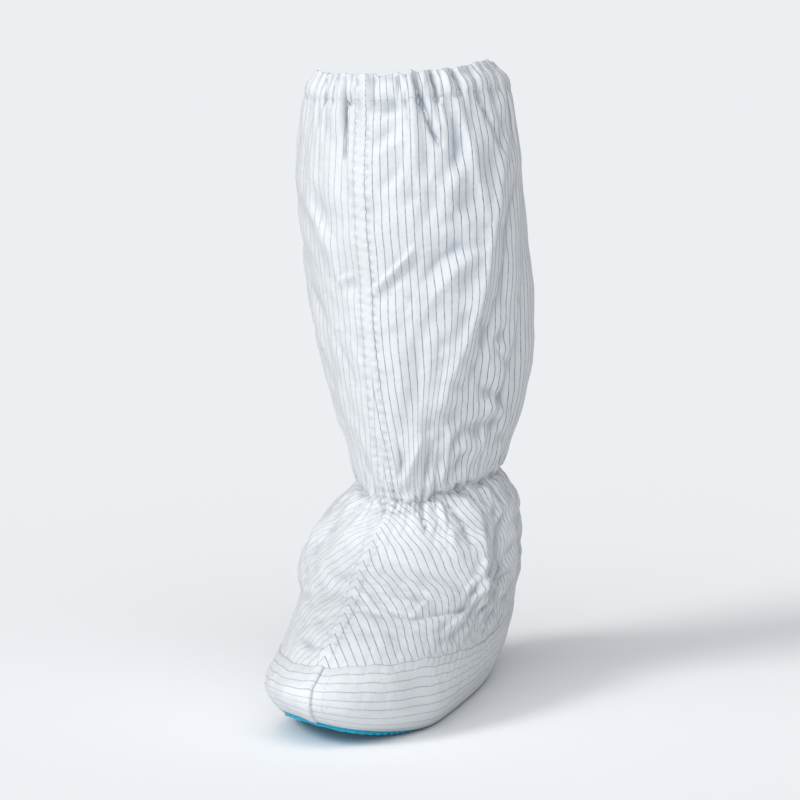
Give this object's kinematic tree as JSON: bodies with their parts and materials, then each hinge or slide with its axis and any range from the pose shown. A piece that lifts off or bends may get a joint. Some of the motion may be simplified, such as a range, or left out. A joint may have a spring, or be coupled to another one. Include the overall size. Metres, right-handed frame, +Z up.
{
  "type": "cleanroom shoe cover",
  "caption": "Boot-height cleanroom shoe cover for the left foot: hollow striped white cloth, gathered at collar and ankle, with a cloth band above a cross-ribbed blue sole",
  "frame": {"origin": "on the floor under the middle of the whole shoe cover", "axes": "+Z up the shaft, toe towards -Y, outer side of the left foot towards +X"},
  "size_m": [0.1294, 0.2944, 0.3536],
  "materials": {
    "upper_cloth": "crisp white polyester with fine grey-blue conductive stripes",
    "band_cloth": "the same cloth, its stripes running along the foot",
    "sole_rubber": "satin cyan-blue moulded rubber",
    "insole_cloth": "plain off-white lining"
  },
  "bodies": {
    "root": {"upper": "upper_cloth", "band": "band_cloth", "outsole": "sole_rubber", "insole": "insole_cloth"}
  },
  "joints": []
}
